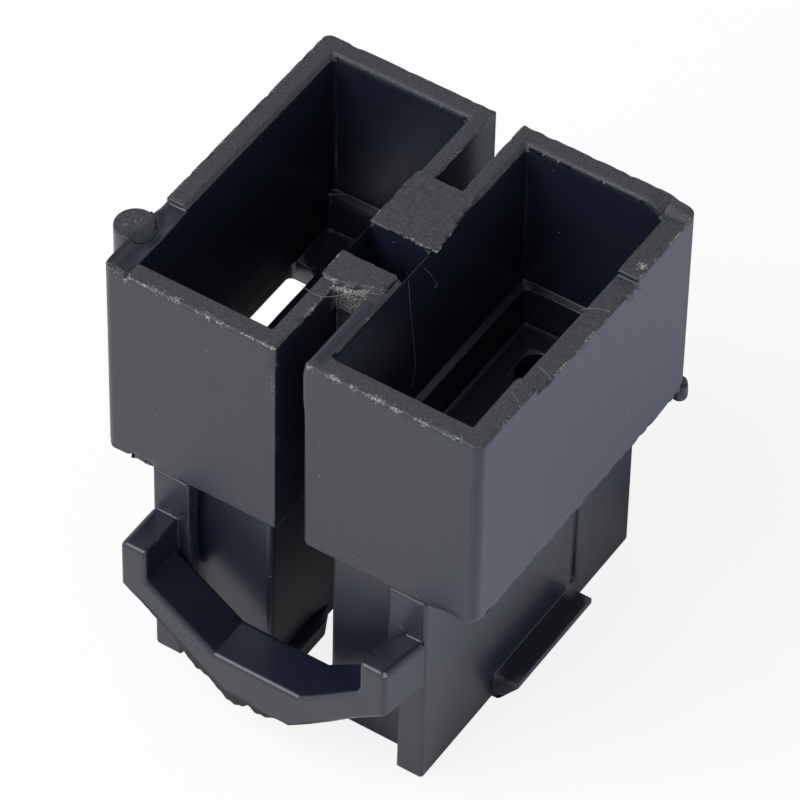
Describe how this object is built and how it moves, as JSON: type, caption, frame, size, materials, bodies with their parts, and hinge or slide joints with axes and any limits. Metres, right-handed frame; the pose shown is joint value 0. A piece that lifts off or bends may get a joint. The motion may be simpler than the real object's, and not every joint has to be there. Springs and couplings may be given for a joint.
{
  "type": "wiring harness connector",
  "caption": "Worn black plastic wiring harness connector housing: two deep open cells over a narrower plug body with side latches and a front yoke.",
  "frame": {"origin": "foot of the plug body, on the mirror plane and at the middle of the depth, where the plug's axis leaves the housing", "axes": "+Z points out of the open cells and against the plugging direction, -Y is the side with the yoke, -X the side with the key post"},
  "size_m": [0.0268, 0.0262, 0.0303],
  "materials": {
    "black_plastic": "satin, moulded, worn"
  },
  "bodies": {
    "root": {"housing": "black_plastic"}
  },
  "joints": []
}
